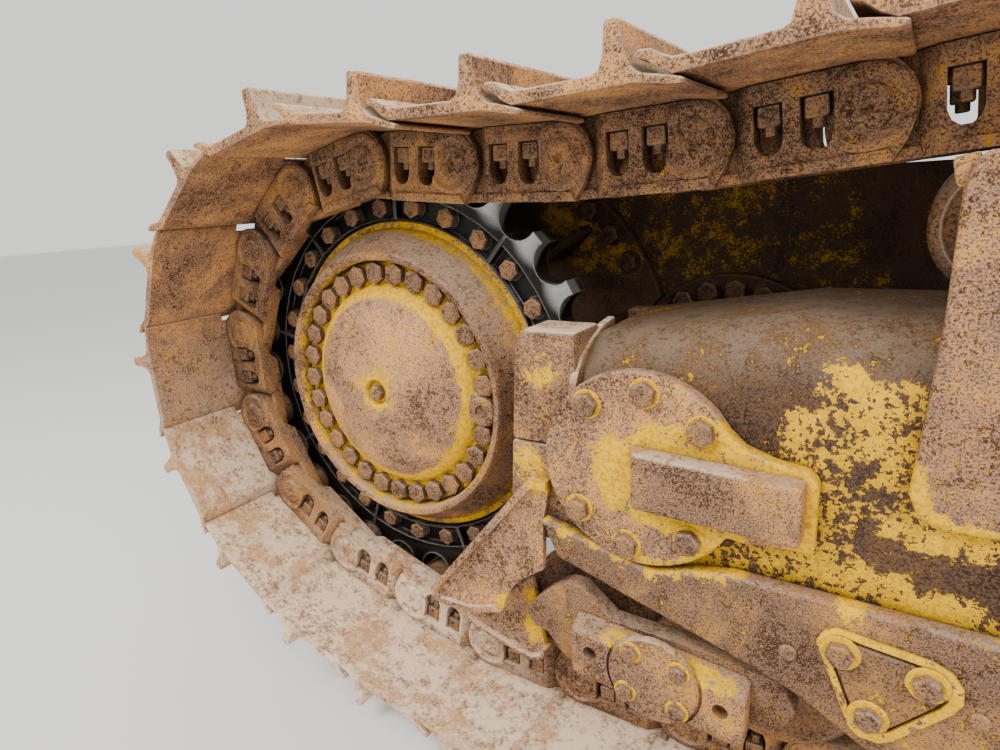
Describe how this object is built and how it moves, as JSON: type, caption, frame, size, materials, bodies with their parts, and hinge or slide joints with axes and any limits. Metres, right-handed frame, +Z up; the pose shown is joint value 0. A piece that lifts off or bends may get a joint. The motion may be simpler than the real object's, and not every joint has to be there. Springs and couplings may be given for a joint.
{
  "type": "bulldozer track unit",
  "caption": "Right-hand crawler undercarriage of a bulldozer: endless shoe track on sprocket, rollers and idler, carried by a roller frame and the main frame's side member.",
  "frame": {"origin": "on the sprocket's axis, at the inboard face of the main frame's side member", "axes": "+X to the tractor's front along the track, -Y outboard, +Z up"},
  "size_m": [4.514, 0.712, 1.3722],
  "materials": {
    "rusty_steel": "rust-stained bare steel, worn bright on the rails",
    "black_steel": "black paint, worn to bare metal at the teeth",
    "worn_paint": "yellow paint worn through to brown primer and rust",
    "dark_paint": "dark oily paint with rust and yellow specks",
    "worn_steel": "worn brown steel"
  },
  "bodies": {
    "root": {"adjuster_rod": "worn_steel", "bogie_pins": "worn_paint", "carrier_rollers": "worn_steel", "carrier_supports": "worn_paint", "equalizer_seat": "dark_paint", "final_drive_case": "worn_paint", "frame_body": "worn_paint", "frame_rails": "worn_paint", "hub_cover": "worn_paint", "idler": "worn_steel", "idler_blocks": "worn_paint", "idler_shaft": "worn_steel", "idler_yoke": "worn_paint", "major_bogies": "worn_paint", "major_pins": "worn_steel", "minor_bogies": "worn_paint", "pin_covers": "worn_paint", "pivot_cover": "worn_paint", "pivot_flange": "dark_paint", "pivot_shaft": "worn_steel", "rear_guard": "worn_paint", "recoil_housing": "worn_paint", "roller_hangers": "worn_paint", "side_member": "dark_paint", "skirt_inner": "worn_paint", "skirt_outer": "worn_paint", "sprocket_hub": "worn_paint", "sprocket_segments": "black_steel", "tail_cheek_inner": "worn_paint", "tail_cheek_outer": "worn_paint", "track": "rusty_steel", "track_rollers": "worn_steel"}
  },
  "joints": []
}
